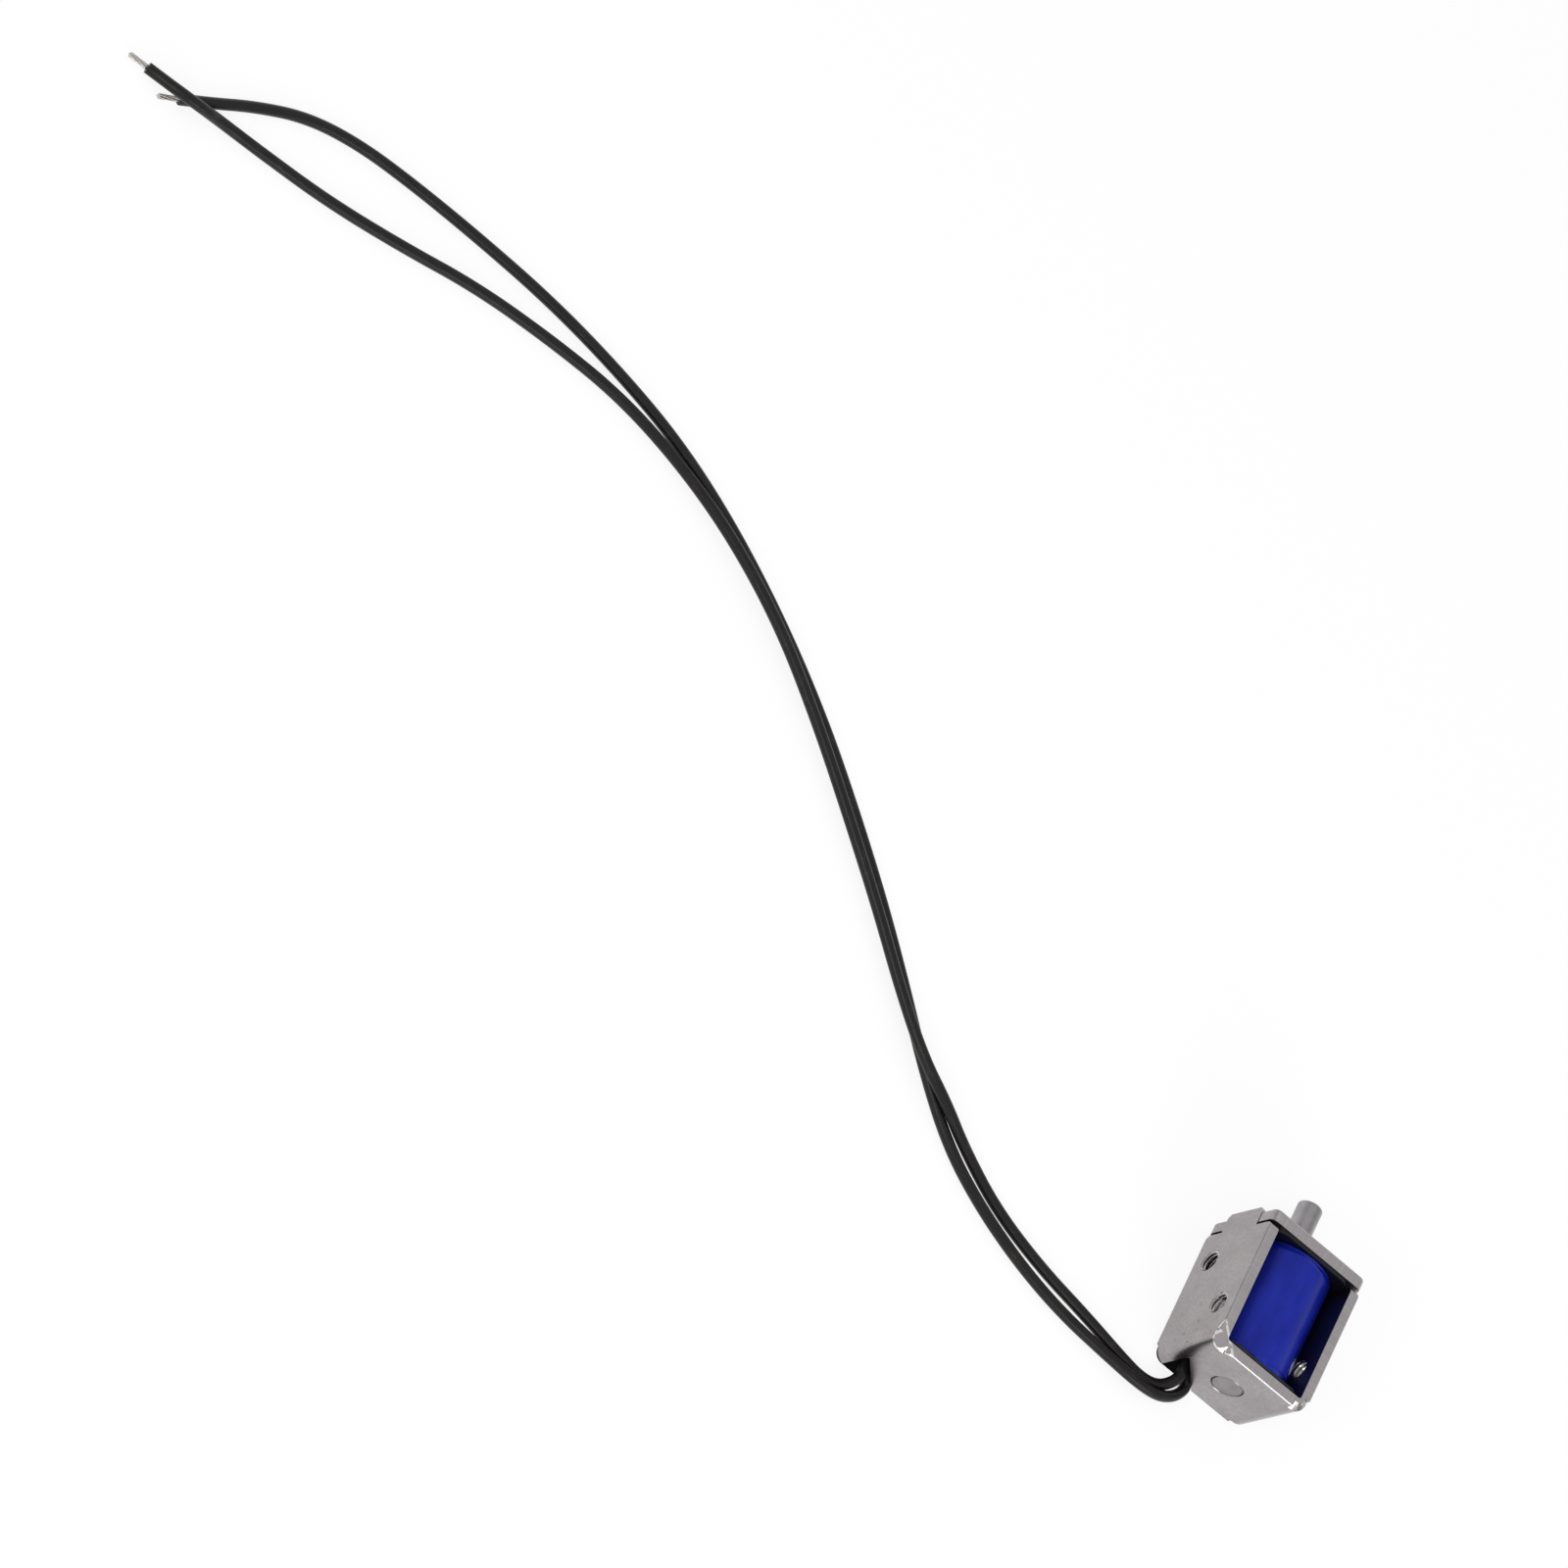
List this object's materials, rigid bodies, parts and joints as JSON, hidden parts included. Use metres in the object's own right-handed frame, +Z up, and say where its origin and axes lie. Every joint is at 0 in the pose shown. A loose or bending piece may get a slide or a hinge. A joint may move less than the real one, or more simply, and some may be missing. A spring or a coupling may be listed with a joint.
{
  "type": "solenoid lock",
  "caption": "Miniature solenoid bolt lock: folded steel frame, blue taped coil, sprung round bolt and loose insulated leads.",
  "frame": {"origin": "on the surface that the lock lies on, below the middle of its frame and bolt", "axes": "+Y along the bolt towards its tip, +Z up out of the frame's open front, +X across the frame"},
  "size_m": [0.1465, 0.0446, 0.0087],
  "materials": {
    "frame_steel": "bare rolled steel, satin, faintly mottled",
    "core_steel": "turned soft iron",
    "plunger_steel": "turned and plated steel",
    "spring_steel": "drawn spring wire",
    "washer_steel": "stamped stainless steel",
    "shim_brass": "stamped brass",
    "bobbin_plastic": "moulded black plastic",
    "enamelled_copper": "enamelled copper wire",
    "blue_tape": "glossy blue polyester tape",
    "black_insulation": "black extruded insulation with a faint sheen",
    "tinned_copper": "tinned copper strands",
    "solder": "solder"
  },
  "bodies": {
    "frame": {"yoke_frame": "frame_steel", "end_plate": "frame_steel", "fixed_core": "core_steel", "anti_stick_shim": "shim_brass", "return_spring": "spring_steel", "stop_washer": "washer_steel", "bobbin": "bobbin_plastic", "coil_winding": "enamelled_copper", "coil_tape": "blue_tape", "lead_wire_a": "black_insulation", "lead_wire_b": "black_insulation", "strand_end_a": "tinned_copper", "strand_end_b": "tinned_copper", "solder_joint_a": "solder", "solder_joint_b": "solder", "magnet_wire_tail_a": "enamelled_copper", "magnet_wire_tail_b": "enamelled_copper"},
    "plunger": {"locking_plunger": "plunger_steel"}
  },
  "joints": [
    {"name": "bolt_slide", "type": "slide", "parent": "frame", "child": "plunger", "axis": [0, 1, 0], "range_m": [-0.003, 0], "stiffness_N_per_m": 150, "springref_m": 0.003, "deforming": ["return_spring"]}
  ]
}
